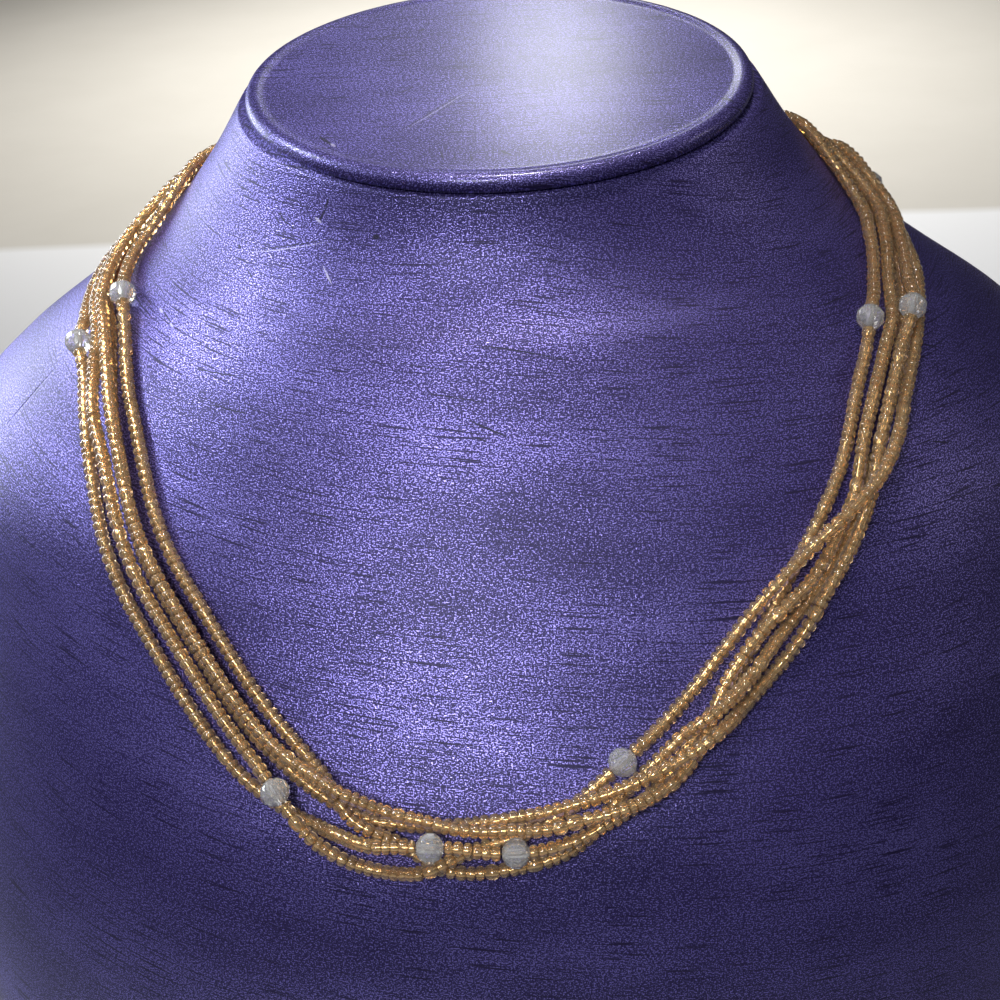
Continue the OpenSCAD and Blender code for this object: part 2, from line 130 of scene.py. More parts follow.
STRAND_5_WAY = [
    [-190, 0, 0], [-172, 0, 0], [-110, 0, 0], [-68, 0, 0], [-61, -0.8, 0], [-40, -1.2, 0],
    [-30, -1, 0], [-20, -0.7, 0], [-12, -2.8, 0], [-8, -4.6, 0], [-4, -5.6, 0],
    [-1, -5.8, 0.4], [1, -5.7, 2.4], [3, -5, 3.5], [5, -3.8, 4.2], [8, -1.2, 5.7],
    [9, -0.4, 5.9], [10, 0.4, 5.9], [11, 1.1, 6.4], [12, 1.8, 7.1], [13, 2.4, 7.1],
    [14, 3, 5.6], [15, 3.6, 3.4], [16, 4.1, 1.4], [18, 4.7, 0.4], [20, 5, 0.6],
    [22, 4.2, 2.5], [24, 3.2, 3.4], [28, 3, 3.5], [32, 2.4, 3.6], [36, 1.1, 3.6],
    [48, 0.8, 4.4], [54, 1.1, 6.6], [60, 0.9, 4.2], [70, 0.9, 3.4], [80, 1.7, 3.3],
    [88, 0.7, 3.4], [96, 1.2, 3.2], [104, 2.6, 2.2], [112, 3.2, 1.2], [125, 2.7, 2.2],
    [140, 1.8, 3.1], [172, 1.8, 3.1], [190, 1.8, 3.1]
]
# The crystals. Columns: strand, angle.
CRYSTALS = [
    [4, -66.3], [1, -61], [2, -17], [1, -5.8], [1, -0.3], [2, 8.2], [1, 51.5], [5, 53.7],
    [2, 88.2]
]
STRAND_WAYS = [STRAND_1_WAY, STRAND_2_WAY, STRAND_3_WAY, STRAND_4_WAY, STRAND_5_WAY]


# Shapes in numbers

def on_curve(rows, x):
    """Smooth curve through a table's rows at x: cubics whose slope at a row is that of the
    line between its neighbours, held at the first and last rows."""
    rows = np.asarray(rows, float)
    last = len(rows) - 1
    at = np.clip(np.asarray(x, float), rows[0, 0], rows[-1, 0])
    k = np.clip(np.searchsorted(rows[:, 0], at, side="right") - 1, 0, last - 1)
    a, b = rows[np.maximum(k - 1, 0)], rows[k]
    c, d = rows[k + 1], rows[np.minimum(k + 2, last)]
    h = (c[..., 0] - b[..., 0])[..., None]
    u = (at[..., None] - b[..., :1]) / h
    start = (c - a) * h / (c[..., :1] - a[..., :1])
    end = (d - b) * h / (d[..., :1] - b[..., :1])
    return ((2 * u**3 - 3 * u**2 + 1) * b + (u**3 - 2 * u**2 + u) * start
            + (3 * u**2 - 2 * u**3) * c + (u**3 - u**2) * end)


def ease(a, b, x):
    """Rises smoothly from 0 to 1 as x goes from a to b."""
    u = np.clip((x - a) / (b - a), 0, 1)
    return u * u * (3 - 2 * u)


def unit(v):
    """Vectors of length one along v."""
    return v / np.linalg.norm(v, axis=-1, keepdims=True)


def signed_power(v, p):
    """A power that keeps the sign of its base."""
    return np.sign(v) * np.abs(v) ** p


def skin(angle, height, inset=0.0):
    """Point of the body's skin in mm: a superellipse with its own reach to the front and to
    the back at each height, leaning forward near the top as the neck does."""
    angle, height = np.broadcast_arrays(np.asarray(angle, float), np.asarray(height, float))
    row = on_curve(SECTIONS, height)
    p = 2 / row[..., 5]
    s, c = np.sin(np.radians(angle)), np.cos(np.radians(angle))
    before, behind = row[..., 4] - row[..., 2], row[..., 3] - row[..., 4]
    reach = behind + (before - behind) * ease(-0.35, 0.35, c)
    x = (row[..., 1] - inset) * signed_power(s, p)
    y = row[..., 4] - (reach - inset) * signed_power(c, p)
    lean = math.tan(TOP_TILT) * y * ease(LEAN_FROM, BODY_H, height)
    return np.stack([x, y + NECK_Y, height + lean], -1)


STEP = 0.5


def skin_round(angle, height):
    """Step of the skin for one degree round the neck."""
    return (skin(angle + STEP, height) - skin(angle - STEP, height)) / (2 * STEP)


def skin_up(angle, height):
    """Step of the skin for one drawn millimetre of height."""
    return (skin(angle, height + STEP) - skin(angle, height - STEP)) / (2 * STEP)


def skin_normal(angle, height):
    """Outward normal of the skin: the cross product of its two steps."""
    return unit(np.cross(skin_round(angle, height), skin_up(angle, height)))


def line_height(angle):
    """Height of the necklace's middle line at an angle round the neck."""
    return on_curve(MIDDLE_LINE, angle)[..., 1]


def line_point(angle):
    """Point of the middle line on the skin."""
    return skin(angle, line_height(angle))


def line_direction(angle):
    """Direction of the middle line."""
    return unit(line_point(angle + STEP) - line_point(angle - STEP))


DEGREES = np.arange(-180.0, 181.0)
MEASURED = line_point(DEGREES) + 2 * skin_normal(DEGREES, line_height(DEGREES))
DISTANCES = np.concatenate([[0], np.cumsum(np.linalg.norm(np.diff(MEASURED, axis=0), axis=1))])
LINE_LENGTH = DISTANCES[-1]
BED = BEAD_D / 2 + SEAT


def strand_point(way, distance):
    """Point of a strand's middle in mm: outwards over the skin from the middle line by its
    way's second column, then up from the skin by its third and half a bead."""
    angle = np.interp(distance, DISTANCES, DEGREES)
    row = on_curve(way, angle)
    height = line_height(angle)
    along, up = skin_round(angle, height), skin_up(angle, height)
    n = np.cross(along, up)
    outwards = np.cross(line_direction(angle), unit(n))
    nn = (n * n).sum(-1)
    a = angle + row[..., 1] * (np.cross(outwards, up) * n).sum(-1) / nn
    h = height + row[..., 1] * (np.cross(along, outwards) * n).sum(-1) / nn
    return skin(a, h) + (np.maximum(row[..., 2], 0) + BED)[..., None] * skin_normal(a, h)


# Meshes

def piece(name, points, faces, materials, replaced=(), uv=None, smooth=True):
    """A mesh object at the origin that rides on the root body. points are in mm, faces a list
    of index arrays with a row for each face, and uv has a row for each point or for each
    corner of each face."""
    mesh = bpy.data.meshes.new(name)
    loops = np.concatenate([f.ravel() for f in faces])
    sizes = np.concatenate([np.full(len(f), f.shape[1]) for f in faces])
    starts = np.concatenate([[0], np.cumsum(sizes)[:-1]])
    mesh.vertices.add(len(points))
    mesh.vertices.foreach_set("co", (np.asarray(points) * MM).astype(np.float32).ravel())
    mesh.loops.add(len(loops))
    mesh.loops.foreach_set("vertex_index", loops.astype(np.int32))
    mesh.polygons.add(len(sizes))
    mesh.polygons.foreach_set("loop_start", starts.astype(np.int32))
    mesh.polygons.foreach_set("loop_total", sizes.astype(np.int32))
    mesh.polygons.foreach_set("use_smooth", np.full(len(sizes), smooth))
    for material in materials:
        mesh.materials.append(material)
    if uv is not None:
        layer = mesh.uv_layers.new(name="UVMap")
        corners = uv if len(uv) == len(loops) else np.asarray(uv)[loops]
        layer.data.foreach_set("uv", corners.astype(np.float32).ravel())
    mesh.update(calc_edges=True)
    mesh.validate()
    obj = bpy.data.objects.new(name, mesh)
    bpy.context.scene.collection.objects.link(obj)
    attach(obj, "root")
    if replaced:
        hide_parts(*replaced)
    return obj


def band_faces(rows, sides):
    """Quads between rings of points that follow each other, counter-clockwise from outside."""
    i = np.arange(rows - 1)[:, None]
    j = np.arange(sides)[None, :]
    low, high = i * sides, (i + 1) * sides
    k = (j + 1) % sides
    return np.stack([low + j, low + k, high + k, high + j], -1).reshape(-1, 4)


def cap_point(x, y, z):
    """Point of the cap in mm from its own flat frame, tilted about X on top of the neck."""
    c, s = math.cos(TOP_TILT), math.sin(TOP_TILT)
    base = BODY_H + SEAT / c
    return np.stack([x, NECK_Y + y * c - z * s, base + y * s + z * c], -1)


# Materials

class Nodes:
    """Node building in few words: each call adds a node, sets its values and its links."""

    def __init__(self, name):
        self.material = bpy.data.materials.new(name)
        self.material.use_nodes = True
        self.tree = self.material.node_tree
        self.shader = self.tree.nodes["Principled BSDF"]

    def add(self, kind, values=None, **props):
        node = self.tree.nodes.new("ShaderNode" + kind)
        for key, value in props.items():
            setattr(node, key, value)
        for key, value in (values or {}).items():
            self.put(node.inputs[key], value)
        return node

    def put(self, socket, value):
        if isinstance(value, bpy.types.NodeSocket):
            self.tree.links.new(value, socket)
        elif isinstance(value, bpy.types.Node):
            self.tree.links.new(value.outputs[0], socket)
        else:
            socket.default_value = value

    def set(self, **values):
        for key, value in values.items():
            self.put(self.shader.inputs[key.replace("_", " ")], value)

    def math(self, operation, a, b=0.0, c=0.0, clamp=False):
        return self.add("Math", {0: a, 1: b, 2: c}, operation=operation, use_clamp=clamp)

    def noise(self, vector, scale, detail=2.0, roughness=0.5, distortion=0.0):
        return self.add("TexNoise", {"Vector": vector, "Scale": scale, "Detail": detail,
                                     "Roughness": roughness, "Distortion": distortion}).outputs[0]

    def scaled(self, vector, scale):
        return self.add("Mapping", {"Vector": vector, "Scale": scale})

    def ramp(self, factor, *stops):
        node = self.add("ValToRGB", {"Fac": factor})
        elements = node.color_ramp.elements
        while len(elements) < len(stops):
            elements.new(0.5)
        for element, (at, colour) in zip(elements, stops):
            element.position = at
            element.color = (*colour, 1)
        return node.outputs[0]

    def range(self, value, low, high, to_low=0.0, to_high=1.0):
        return self.add("MapRange", {0: value, 1: low, 2: high, 3: to_low, 4: to_high}).outputs[0]

    def mix(self, factor, a, b):
        node = self.add("Mix", data_type="RGBA")
        for socket, value in ((node.inputs[0], factor), (node.inputs[6], a), (node.inputs[7], b)):
            if isinstance(value, tuple):
                value = (*value, 1)
            self.put(socket, value)
        return node.outputs[2]


# Scratches and chips. Columns: u and v of the middle in decimetres of the piece's map, half
# length and half width in mm, turn in degrees.
BODY_CUTS = [
    (-0.039, 2.130, 5.4, 0.34, -27), (-0.055, 2.109, 1.8, 0.25, -21),
    (-0.504, 2.612, 1.5, 0.25, -37), (-0.493, 2.601, 1.6, 0.22, -34),
    (-0.476, 2.592, 1.9, 0.25, -33), (-0.514, 2.601, 1.4, 0.2, -37),
    (-0.380, 2.645, 1.7, 0.35, -110), (-0.394, 2.616, 2.3, 0.34, -124),
    (-0.483, 2.545, 13.8, 0.15, 11), (-0.266, 2.564, 1.0, 0.75, -27),
    (-0.624, 2.524, 0.8, 0.5, -8), (-0.584, 2.468, 1.6, 0.3, -44),
    (-0.819, 2.305, 2.9, 0.32, -23), (-0.646, 2.217, 7.6, 0.22, 3),
    (-0.608, 2.142, 6.7, 0.24, -2), (0.774, 2.296, 7.9, 0.25, -2),
    (1.017, 2.093, 3.9, 0.25, -28), (0.973, 1.904, 4.1, 0.22, -24),
    (0.026, 2.290, 13.2, 0.22, -11), (-0.173, 2.268, 6.3, 0.17, -11),
    (-0.098, 2.197, 10.0, 0.16, -12), (0.335, 2.100, 6.8, 0.15, -17),
    (-0.394, 1.945, 4.5, 0.18, -6), (0.131, 1.664, 4.3, 0.16, -12)
]
BODY_CHIPS = [
    (-0.482, 2.539, 13.7, 0.13, 11), (-0.381, 2.482, 3.1, 0.32, -63),
    (-0.403, 2.607, 1.3, 0.45, -38), (-0.847, 2.312, 1.2, 0.5, -10),
    (-0.797, 2.291, 1.1, 0.4, -16)
]
BODY_SEAMS = [(-1.267, 1.953, 15.0, 0.35, 52), (1.267, 1.953, 15.0, 0.35, -52)]
CAP_CUTS = [
    (-0.137, -0.109, 15.3, 0.17, 50), (-0.122, -0.112, 12.4, 0.15, 50),
    (-0.254, 0.248, 8.5, 0.22, 15), (-0.206, -0.016, 3.3, 0.22, 36),
    (-0.177, 0.271, 1.3, 0.5, 24), (-0.365, -0.222, 3.6, 0.5, -53),
    (0.493, -0.121, 2.3, 0.5, -45), (0.162, 0.111, 7.1, 0.14, 11),
    (-0.117, -0.301, 2.3, 0.22, -77), (-0.056, -0.314, 2.3, 0.2, -84),
    (0.016, -0.302, 1.9, 0.5, -42), (-0.09, -0.31, 2.0, 0.16, -80)
]
CAP_CHIPS = [(-0.130, -0.109, 14.2, 0.14, 50), (-0.349, -0.240, 1.3, 0.5, -52)]


def marks(n, place, rows):
    """Strength of the nearest of many thin spindles: 1 on a spindle's middle line, falling
    evenly to 0 at its edge, as the distance in a frame stretched by its half sizes."""
    total = None
    for u, v, long, wide, turn in rows:
        local = n.add("Mapping", {"Vector": place, "Location": (u, v, 0),
                                  "Rotation": (0, 0, math.radians(turn)),
                                  "Scale": (long * 0.01, wide * 0.01, 1)}, vector_type="TEXTURE")
        spindle = n.add("TexGradient", {"Vector": local}, gradient_type="SPHERICAL").outputs[1]
        total = spindle if total is None else n.math("MAXIMUM", total, spindle)
    return total


def pearl_leatherette(name, cuts, chips, seams=(), tilt=7.0, coat=0.06, coat_rough=0.35):
    """Deep violet leatherette with bright pearl flecks, brushed sideways: fine grain, thin
    scores that fall a little to the right, painted dark as shade in their grooves, cloudy
    tone, scratches that show the dark ground, and pale chips. Its UV map is in decimetres."""
    n = Nodes(name)
    uv = n.add("UVMap", uv_map="UVMap").outputs[0]
    tilted = n.add("Mapping", {"Vector": uv, "Rotation": (0, 0, math.radians(tilt))})
    grain = n.noise(n.scaled(tilted, (150, 340, 1)), 1.0, 1.0, 0.6)
    speck = n.noise(uv, 330.0, 0.0)
    score = n.noise(n.scaled(tilted, (7, 230, 1)), 1.0, 1.0, 0.5, 0.05)
    cloud = n.noise(n.scaled(tilted, (1.6, 4.5, 1)), 1.0, 2.0, 0.55)
    # Painted shade: where the score noise falls below this level, the scores are painted near
    # black and lose their flecks and metal, as the shade in their grooves.
    score_shade_level = n.range(cloud, 0.35, 0.65, 0.35, 0.42)
    cut = n.math("MULTIPLY", n.math("SUBTRACT", score_shade_level, score), 16.0, clamp=True)
    relief = n.math("MULTIPLY_ADD", grain, 0.5, n.math("MULTIPLY", speck, 0.5))
    fleck = n.range(n.math("MULTIPLY_ADD", cloud, 0.16, relief), 0.59, 0.69)
    fleck = n.math("MULTIPLY", fleck, n.math("SUBTRACT", 1.0, cut), clamp=True)
    ragged = n.add("TexNoise", {"Vector": uv, "Scale": 60.0, "Detail": 2.0}).outputs[1]
    ragged = n.add("VectorMath", {0: ragged, 1: (0.5, 0.5, 0.5)}, operation="SUBTRACT")
    place = n.add("VectorMath", {0: ragged, 1: (0.004, 0.004, 0.0), 2: uv},
                  operation="MULTIPLY_ADD")
    scratch = n.range(marks(n, place, cuts), 0.05, 0.45)
    chip = n.range(marks(n, place, chips), 0.1, 0.5)
    deep = n.mix(cloud, (0.010, 0.006, 0.040), (0.020, 0.012, 0.078))
    colour = n.mix(fleck, deep, (0.26, 0.225, 0.60))
    # Painted shade in the score grooves.
    colour = n.mix(n.math("MULTIPLY", cut, 0.8), colour, (0.006, 0.003, 0.018))
    colour = n.mix(scratch, colour, (0.004, 0.003, 0.010))
    colour = n.mix(chip, colour, (0.30, 0.28, 0.40))
    whole = n.math("SUBTRACT", 1.0, scratch)
    metal = n.math("MULTIPLY", n.math("MULTIPLY_ADD", fleck, 0.85, 0.06), whole)
    height = relief
    if seams:
        fold = n.range(marks(n, uv, seams), 0.0, 0.8)
        height = n.math("MULTIPLY_ADD", fold, -2.0, relief)
    bump = n.add("Bump", {"Strength": 0.85, "Distance": 0.0002, "Height": height})
    n.set(Base_Color=colour, Metallic=metal, Roughness=n.range(fleck, 0.0, 1.0, 0.45, 0.31),
          Normal=bump)
    n.set(Coat_Weight=coat, Coat_Roughness=coat_rough, Coat_IOR=1.5)
    n.set(Specular_IOR_Level=0.4, Specular_Tint=(0.62, 0.60, 1.0, 1))
    return n.material


def amber_glass():
    """Clear amber glass of the seed beads."""
    n = Nodes("amber_glass")
    n.set(Base_Color=(0.97, 0.69, 0.37, 1), Transmission_Weight=0.86, Roughness=0.03, IOR=1.55)
    return n.material


def bronze_lining():
    """Metal lining of a bead's hole, pale gold to bronze from bead to bead."""
    n = Nodes("bronze_lining")
    co = n.add("TexCoord").outputs["Object"]
    tone = n.noise(co, 700.0, 1.0)
    colour = n.ramp(tone, (0.3, (0.80, 0.62, 0.42)), (0.5, (0.98, 0.84, 0.62)),
                    (0.7, (1.0, 0.95, 0.80)))
    n.set(Base_Color=colour, Metallic=1.0, Roughness=0.25)
    return n.material


def crystal_glass():
    """Clear cut crystal."""
    n = Nodes("crystal_glass")
    n.set(Base_Color=(1.0, 0.98, 0.93, 1), Transmission_Weight=0.81, Roughness=0.0, IOR=1.7)
    return n.material


def thread_nylon():
    """Beading thread, painted near-black brown as the shade in the gaps between the beads."""
    n = Nodes("thread_nylon")
    n.set(Base_Color=(0.10, 0.055, 0.025, 1), Roughness=0.6)
    return n.material


def antique_gold():
    """Satin antique gold of the clasp, brushed and darker in patches."""
    n = Nodes("antique_gold")
    co = n.add("TexCoord").outputs["Object"]
    brush = n.noise(n.scaled(co, (150, 2500, 2500)), 1.0, 3.0)
    patch = n.noise(co, 260.0, 3.0)
    colour = n.ramp(patch, (0.35, (0.30, 0.20, 0.09)), (0.6, (0.78, 0.58, 0.30)))
    bump = n.add("Bump", {"Strength": 0.2, "Distance": 0.0001, "Height": brush})
    n.set(Base_Color=colour, Metallic=1.0, Roughness=n.range(patch, 0.3, 0.7, 0.42, 0.26),
          Normal=bump)
    return n.material


def pale_floor():
    """Matt pale floor: white near the bust, pale cream well behind it."""
    n = Nodes("pale_floor")
    co = n.add("TexCoord").outputs["Object"]
    soft = n.noise(co, 3.0, 3.0)
    mottle = n.noise(co, 14.0, 4.0, 0.6)
    white = n.mix(soft, (0.80, 0.80, 0.80), (0.85, 0.85, 0.85))
    cream = n.mix(mottle, (0.56, 0.53, 0.47), (0.62, 0.59, 0.53))
    behind = n.add("SeparateXYZ", {"Vector": co}).outputs[1]
    wave = n.math("MULTIPLY_ADD", n.noise(co, 5.0, 1.0), 0.02, behind)
    n.set(Base_Color=n.mix(n.range(wave, 0.600, 0.612), white, cream), Roughness=0.9)
    return n.material


# The bust

def bust_body():
    """The body's skin on a grid of angle and height, finer to the front, with a rounded foot
    and flat ends under the cap and on the floor."""
    columns, foot_r = 420, 3.0
    t = np.arange(columns) / columns
    angle = 360 * t - 180 + 38 * np.sin(2 * np.pi * t)
    heights = np.concatenate([[0, 0.25, 0.9, 1.8], np.linspace(foot_r, 100, 50),
                              np.linspace(101, 200, 112), np.linspace(201, BODY_H, 56)])
    low = np.minimum(heights, foot_r)
    inset = foot_r - np.sqrt(foot_r**2 - (foot_r - low) ** 2)
    points = skin(angle[None, :], heights[:, None], inset[:, None])
    across = np.linalg.norm(points - np.roll(points, 1, axis=1), axis=-1)
    across[:, 0] = 0
    u = np.cumsum(across, axis=1)
    u -= u[:, columns // 2:columns // 2 + 1]
    up = np.linalg.norm(np.diff(points, axis=0), axis=-1)
    v = np.concatenate([np.zeros((1, columns)), np.cumsum(up, axis=0)])
    rows = len(heights)
    grid = points.reshape(-1, 3)
    middle_low, middle_high = len(grid), len(grid) + 1
    ends = np.array([[0, NECK_Y, 0], [0, NECK_Y, BODY_H]])
    j = np.arange(columns)
    k = (j + 1) % columns
    top = (rows - 1) * columns
    bottom_fan = np.stack([k, j, np.full(columns, middle_low)], -1)
    top_fan = np.stack([top + j, top + k, np.full(columns, middle_high)], -1)
    uv = np.concatenate([np.stack([u, v], -1).reshape(-1, 2), [[0, 0], [0, v.max()]]]) * 0.01
    bands = band_faces(rows, columns)
    band_uv = uv[bands].reshape(rows - 1, columns, 4, 2)
    far = 0.01 * (u[:, -1] + np.linalg.norm(points[:, 0] - points[:, -1], axis=-1))
    band_uv[:, -1, 1, 0] = far[:-1]
    band_uv[:, -1, 2, 0] = far[1:]
    uv = np.concatenate([band_uv.reshape(-1, 2), uv[bottom_fan].reshape(-1, 2),
                         uv[top_fan].reshape(-1, 2)])
    return piece("bust_body_skin", np.concatenate([grid, ends]), [bands, bottom_fan, top_fan],
                 [pearl_leatherette("body_leatherette", BODY_CUTS, BODY_CHIPS, BODY_SEAMS)],
                 ["bust_body"], uv)


def bust_cap():
    """The oval cap as a profile of edge distance and height carried round an ellipse: flat
    underside, round rim, a low lip and a top that lies a little lower."""
    columns = 640
    rim, below, lip = CAP_T / 2, 0.05, 0.30
    arc = np.radians(np.linspace(-90, 90, 15))
    under = np.stack([np.linspace(0.02, 0.96, 6), np.zeros(6)], -1)
    inner = np.linspace(1, 0.0, 64)[1:-1]
    angle = 2 * np.pi * np.arange(columns) / columns
    s, c = np.sin(angle), -np.cos(angle)
    rings = []
    half_w, half_d = CAP_W / 2 - rim, CAP_D / 2 - rim
    for share, z in under:
        rings.append((share * half_w * s, share * half_d * c, z + 0 * s))
    for a in arc:
        r = rim * math.cos(a)
        z = rim + (rim - below) * math.sin(a)
        rings.append(((half_w + r) * s, (half_d + r) * c, z + 0 * s))
    for share in inner:
        z = CAP_T - below - lip * ease(0.2, 1.6, (1 - share) * half_d)
        rings.append((share * half_w * s, share * half_d * c, z + 0 * s))
    flat = np.array([np.stack(r, -1) for r in rings])
    rows = len(rings)
    grid = flat.reshape(-1, 3)
    ends = np.array([[0, 0, 0], [0, 0, CAP_T - below - lip]])
    grid = np.concatenate([grid, ends])
    j = np.arange(columns)
    k = (j + 1) % columns
    top = (rows - 1) * columns
    fans = [np.stack([k, j, np.full(columns, rows * columns)], -1),
            np.stack([top + j, top + k, np.full(columns, rows * columns + 1)], -1)]
    uv = np.stack([grid[:, 0], grid[:, 1] + 0.8 * grid[:, 2]], -1) * 0.01
    points = cap_point(grid[:, 0], grid[:, 1], grid[:, 2])
    return piece("bust_cap_skin", points, [band_faces(rows, columns), *fans],
                 [pearl_leatherette("cap_leatherette", CAP_CUTS, CAP_CHIPS, (), 0.0, 0.3, 0.22)],
                 ["bust_cap"], uv)


# The necklace

def strand_frame(way):
    """Finely spaced points of a strand from clasp to clasp, their distances along the strand,
    directions and the skin's normals there."""
    ends = CLASP_L / 2 + SEAT
    line = np.arange(ends, LINE_LENGTH - ends, 0.2)
    p = strand_point(way, line)
    t = unit(np.gradient(p, axis=0))
    angle = np.interp(line, DISTANCES, DEGREES)
    n = skin_normal(angle, line_height(angle))
    s = np.concatenate([[0], np.cumsum(np.linalg.norm(np.diff(p, axis=0), axis=1))])
    return {"line": line, "p": p, "t": t, "n": n, "s": s}


def along(run, s, what):
    """Values of a strand's frame at distances s along it."""
    return np.stack([np.interp(s, run["s"], run[what][:, i]) for i in range(3)], -1)


def bead_places(run, stops, seed):
    """Start and length of each bead along a strand: pitch near 1.9 mm with some thin and some
    long beads, stretched to fill each run between crystals."""
    rng = np.random.default_rng(seed)
    edges = [0.0]
    for stop in stops:
        edges += [stop - CRYSTAL_L / 2 - 0.12, stop + CRYSTAL_L / 2 + 0.12]
    edges.append(run["s"][-1])
    starts, lengths = [], []
    for a, b in zip(edges[::2], edges[1::2]):
        draw = rng.random(400)
        size = rng.normal(1.86, 0.17, 400).clip(1.45, 2.3)
        size = np.where(draw < 0.06, rng.uniform(1.05, 1.35, 400), size)
        size = np.where(draw > 0.955, rng.uniform(2.9, 3.5, 400), size)
        total = np.cumsum(size)
        count = int(np.searchsorted(total, b - a))
        size = size[:count] * (b - a) / total[count - 1]
        starts.append(a + np.concatenate([[0], np.cumsum(size)[:-1]]))
        lengths.append(size)
    return np.concatenate(starts), np.concatenate(lengths), rng


def turned(profile, sides, centre, axis, side, top, length, radius):
    """Rings of many turned shapes at once: a profile of place along the axis and radius, as
    parts of the half length and the radius, carried round each axis."""
    angle = 2 * np.pi * np.arange(sides) / sides
    round_ = (np.cos(angle)[None, :, None] * side[:, None, :]
              + np.sin(angle)[None, :, None] * top[:, None, :])
    x = np.asarray(profile)[:, 0][None, :, None, None]
    r = np.asarray(profile)[:, 1][None, :, None, None]
    half, radius = length[:, None, None, None] / 2, radius[:, None, None, None]
    return (centre[:, None, None, :] + x * half * axis[:, None, None, :]
            + r * radius * round_[:, None, :, :])


def many(rings):
    """Points and faces of many closed turned shapes: side quads and a flat end each way."""
    count, rows, sides = rings.shape[:3]
    quads = band_faces(rows, sides)
    first = (np.arange(count) * rows * sides)[:, None, None]
    near = np.arange(sides)[::-1]
    far = (rows - 1) * sides + np.arange(sides)
    caps = np.stack([near, far])
    return (rings.reshape(-1, 3),
            [(first + quads[None]).reshape(-1, 4), (first + caps[None]).reshape(-1, sides)])


BEAD_PROFILE = [(-1, 0.42), (-0.93, 0.68), (-0.66, 0.90), (-0.24, 1), (0.24, 1), (0.66, 0.90),
                (0.93, 0.68), (1, 0.42)]
LINING_PROFILE = [(-1, 1), (1, 1)]


def strand(number, way, glass, lining, thread):
    """One strand: amber glass beads of uneven length and width, the metal lining inside each,
    and the thread that runs through beads and crystals."""
    run = strand_frame(way)
    stops = [np.interp(np.interp(c[1], DEGREES, DISTANCES), run["line"], run["s"])
             for c in CRYSTALS if c[0] == number]
    start, length, rng = bead_places(run, stops, 40 + number)
    count = len(start)
    middle = start + length / 2
    centre = along(run, middle, "p")
    axis = unit(along(run, middle + 0.4, "p") - along(run, middle - 0.4, "p"))
    normal = along(run, middle, "n")
    tilt = rng.normal(0, 0.055, (count, 3))
    axis = unit(axis + tilt)
    side = unit(np.cross(normal, axis))
    top = np.cross(axis, side)
    radius = BEAD_D / 2 * rng.normal(0.99, 0.025, count).clip(0.92, 1.02)
    wobble = np.abs(BEAD_D / 2 - radius)[:, None] * rng.uniform(-1, 1, (count, 2))
    centre = centre + wobble[:, :1] * side + wobble[:, 1:] * top
    rings = turned(BEAD_PROFILE, BEAD_SIDES, centre, axis, side, top, length - 0.03, radius)
    points, faces = many(rings)
    piece(f"strand_{number}_beads", points, faces, [glass], [f"strand_{number}"])
    rings = turned(LINING_PROFILE, LINING_SIDES, centre, axis, side, top, length - 0.16,
                   np.full(count, LINING_R))
    points, faces = many(rings)
    piece(f"strand_{number}_lining", points, faces, [lining])
    at = np.arange(0, run["s"][-1], 1.5)
    p, n = along(run, at, "p"), along(run, at, "n")
    t = unit(np.gradient(p, axis=0))
    side = unit(np.cross(n, t))
    top = np.cross(t, side)
    angle = 2 * np.pi * np.arange(THREAD_SIDES) / THREAD_SIDES
    rings = (p[:, None] + THREAD_D / 2 * (np.cos(angle)[None, :, None] * side[:, None]
                                          + np.sin(angle)[None, :, None] * top[:, None]))
    points, faces = many(rings[None])
    piece(f"strand_{number}_thread", points, faces, [thread])


def crystal(number, row, way, glass):
    """One cut crystal: three belts of facets between two flat tables, each belt's corners half
    a step on from the last, with a hole for the thread."""
    middle = np.interp(row[1], DEGREES, DISTANCES)
    a, b = strand_point(way, np.array([middle - 2.8, middle + 2.8]))
    t = unit(b - a)
    n = skin_normal(row[1], line_height(row[1]))
    side = unit(np.cross(n, t))
    top = np.cross(t, side)
    sides = CRYSTAL_SIDES
    # Columns: place along the hole, radius, turn in steps.
    profile = [(-1, 0.34, 0.5), (-0.74, 0.74, 0), (-0.3, 1, 0.5), (0.3, 1, 0.5), (0.74, 0.74, 0),
               (1, 0.34, 0.5), (1, 0.2, 0.5), (-1, 0.2, 0.5)]
    rings = []
    for x, r, turn in profile:
        angle = 2 * np.pi * (np.arange(sides) + turn) / sides
        rings.append((a + b) / 2 + t * x * CRYSTAL_L / 2 + r * CRYSTAL_D / 2
                     * (np.cos(angle)[:, None] * side + np.sin(angle)[:, None] * top))
    points = np.concatenate(rings)
    rows = len(profile)
    faces = []
    j = np.arange(sides)
    for i in range(rows):
        low, high = i * sides, (i + 1) % rows * sides
        k = (j + 1) % sides
        step = profile[(i + 1) % rows][2] - profile[i][2]
        if step == 0:
            faces.append(np.stack([low + j, low + k, high + k], -1))
            faces.append(np.stack([low + j, high + k, high + j], -1))
        elif step < 0:
            faces.append(np.stack([low + j, high + k, high + j], -1))
            faces.append(np.stack([low + j, low + k, high + k], -1))
        else:
            faces.append(np.stack([low + j, low + k, high + j], -1))
            faces.append(np.stack([low + k, high + k, high + j], -1))
    return piece(f"crystal_{number}_cut", points, [np.concatenate(faces)], [glass],
                 [f"crystal_{number}"], smooth=False)


# Light, floor and camera

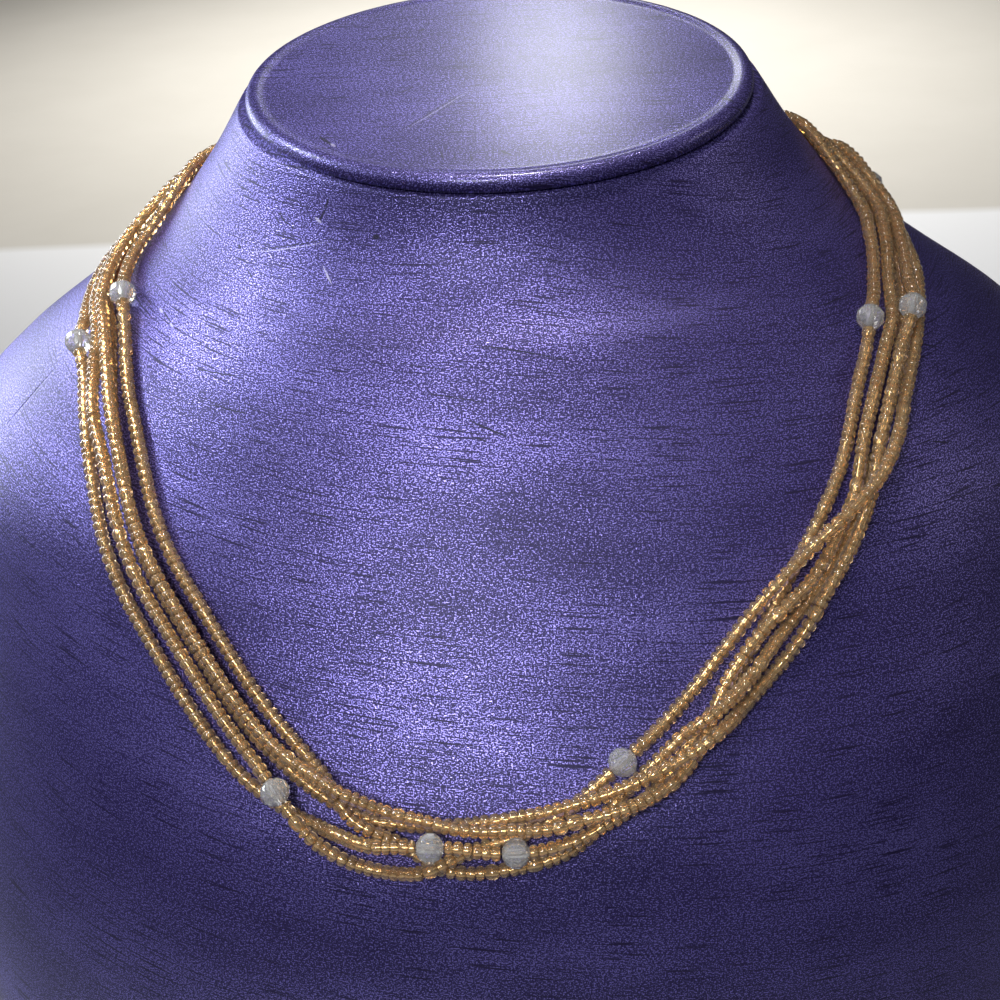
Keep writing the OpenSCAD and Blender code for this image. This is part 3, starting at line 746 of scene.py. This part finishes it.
def area_light(name, place, aim, size, power, colour, spread):
    """A round lamp at place, in mm, that shines at aim through a cone of spread degrees."""
    data = bpy.data.lights.new(name, "AREA")
    data.spread = math.radians(spread)
    data.shape, data.size, data.energy, data.color = "DISK", size, power, colour
    lamp = bpy.data.objects.new(name, data)
    bpy.context.scene.collection.objects.link(lamp)
    place, aim = np.array(place) * MM, np.array(aim) * MM
    back = unit(place - aim)
    right = unit(np.cross([0, 0, 1] if abs(back[2]) < 0.99 else [0, 1, 0], back))
    up = np.cross(back, right)
    matrix = np.eye(4)
    matrix[:3, 0], matrix[:3, 1], matrix[:3, 2], matrix[:3, 3] = right, up, back, place
    lamp.matrix_world = Matrix(matrix.tolist())
    return lamp


def world_light():
    """Pale even light from all round."""
    world = bpy.data.worlds.new("pale_room")
    bpy.context.scene.world = world
    world.use_nodes = True
    back = world.node_tree.nodes["Background"]
    back.inputs["Color"].default_value = (0.84, 0.86, 1.0, 1)
    back.inputs["Strength"].default_value = 0.06
    bpy.context.scene.view_settings.view_transform = "Standard"


def camera():
    """The photograph's view: azimuth, elevation and roll about a target on the chest."""
    az, el, roll = math.radians(2.0), math.radians(29.0), math.radians(-3.1)
    distance, focal = 407.0, 1800.0
    target = np.array([-3.3, -40.0 + NECK_Y, 158.5])
    back = np.array([math.sin(az) * math.cos(el), -math.cos(az) * math.cos(el), math.sin(el)])
    right = np.array([math.cos(az), math.sin(az), 0])
    up = np.cross(back, right)
    right2 = right * math.cos(roll) + up * math.sin(roll)
    up2 = -right * math.sin(roll) + up * math.cos(roll)
    matrix = np.eye(4)
    matrix[:3, 0], matrix[:3, 1], matrix[:3, 2] = right2, up2, back
    matrix[:3, 3] = (target + back * distance) * MM
    data = bpy.data.cameras.new("camera")
    data.sensor_width = 36.0
    data.lens = 36.0 * focal / 1000
    data.clip_start, data.clip_end = 0.01, 100
    obj = bpy.data.objects.new("camera", data)
    bpy.context.scene.collection.objects.link(obj)
    obj.matrix_world = Matrix(matrix.tolist())
    bpy.context.scene.camera = obj


def floor():
    """A wide pale floor under the bust."""
    points = np.array([[-4000, -4000, -0.2], [4000, -4000, -0.2], [4000, 9000, -0.2],
                       [-4000, 9000, -0.2]])
    mesh = bpy.data.meshes.new("floor")
    mesh.from_pydata((points * MM).tolist(), [], [[0, 1, 2, 3]])
    mesh.materials.append(pale_floor())
    obj = bpy.data.objects.new("floor", mesh)
    bpy.context.scene.collection.objects.link(obj)


camera()
bust_body()
bust_cap()
GLASS, LINING, THREAD, CRYSTAL = amber_glass(), bronze_lining(), thread_nylon(), crystal_glass()
for number, way in enumerate(STRAND_WAYS, 1):
    strand(number, way, GLASS, LINING, THREAD)
for number, row in enumerate(CRYSTALS, 1):
    crystal(number, row, STRAND_WAYS[row[0] - 1], CRYSTAL)

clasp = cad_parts["clasp"]
clasp.data.materials.clear()
clasp.data.materials.append(antique_gold())

floor()
world_light()
area_light("overhead", (40, -100, 1310), (-10, 10, 200), 0.10, 0.09, (1.0, 0.97, 0.93), 15)
area_light("front_soft", (-150, -740, 690), (-20, -60, 170), 0.24, 0.25, (0.90, 0.92, 1.0), 34)
area_light("left_lamp", (-270, 0, 390), (-50, 0, 215), 0.12, 0.24, (0.84, 0.91, 1.0), 90)
area_light("left_window", (-480, 300, 270), (-80, 0, 200), 0.36, 0.85, (0.84, 0.91, 1.0), 100)
area_light("right_window", (900, -120, 520), (60, 0, 190), 0.20, 0.03, (1.0, 0.95, 0.88), 40)
area_light("back_window", (22, 885, 948), (10, 40, 248), 0.12, 0.03, (0.92, 0.95, 1.0), 26)
area_light("room", (0, 1150, 1000), (0, 880, 0), 0.50, 4.1, (1.0, 0.99, 0.97), 72)
